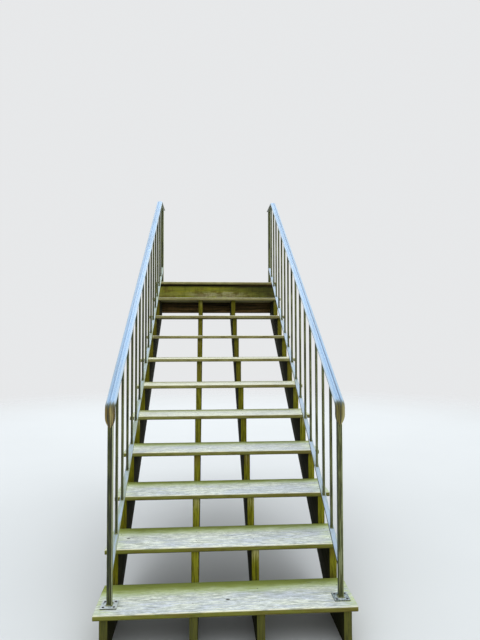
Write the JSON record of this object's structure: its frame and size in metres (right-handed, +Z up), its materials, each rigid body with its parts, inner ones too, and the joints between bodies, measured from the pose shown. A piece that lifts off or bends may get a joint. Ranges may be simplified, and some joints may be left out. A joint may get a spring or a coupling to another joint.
{
  "type": "wooden deck stairs",
  "caption": "Straight open-riser wooden deck flight on sawtooth stringers, with steel railings whose moulded cap rails turn down into tongues.",
  "frame": {"origin": "middle of the header board's back face, which is bolted to the deck", "axes": "+Y horizontal up the climb and out of that face, +Z up, +X to the right seen from the foot"},
  "size_m": [1.219, 2.87, 2.748],
  "materials": {
    "tread_wood": "weathered grey board, green with algae at the back",
    "stringer_wood": "rough treated timber, green with algae",
    "edge_wood": "rough treated timber, green with algae",
    "rail_steel": "dark semi-gloss paint",
    "cap_steel": "dark gloss paint"
  },
  "bodies": {
    "root": {"stringer_left_outer": "stringer_wood", "stringer_left_inner": "stringer_wood", "stringer_right_inner": "stringer_wood", "stringer_right_outer": "stringer_wood", "tread_1": "tread_wood", "tread_2": "tread_wood", "tread_3": "tread_wood", "tread_4": "tread_wood", "tread_5": "tread_wood", "tread_6": "tread_wood", "tread_7": "tread_wood", "tread_8": "tread_wood", "tread_9": "tread_wood", "tread_10": "tread_wood", "riser_board": "edge_wood", "header_board": "edge_wood", "landing_board": "tread_wood", "left_newel_plate": "rail_steel", "left_newel": "rail_steel", "left_cap_rail": "cap_steel", "left_top_channel": "rail_steel", "left_bottom_rail": "rail_steel", "left_balusters": "rail_steel", "left_top_post_plate": "rail_steel", "left_top_post": "rail_steel", "right_newel_plate": "rail_steel", "right_newel": "rail_steel", "right_cap_rail": "cap_steel", "right_top_channel": "rail_steel", "right_bottom_rail": "rail_steel", "right_balusters": "rail_steel", "right_top_post_plate": "rail_steel", "right_top_post": "rail_steel"}
  },
  "joints": []
}
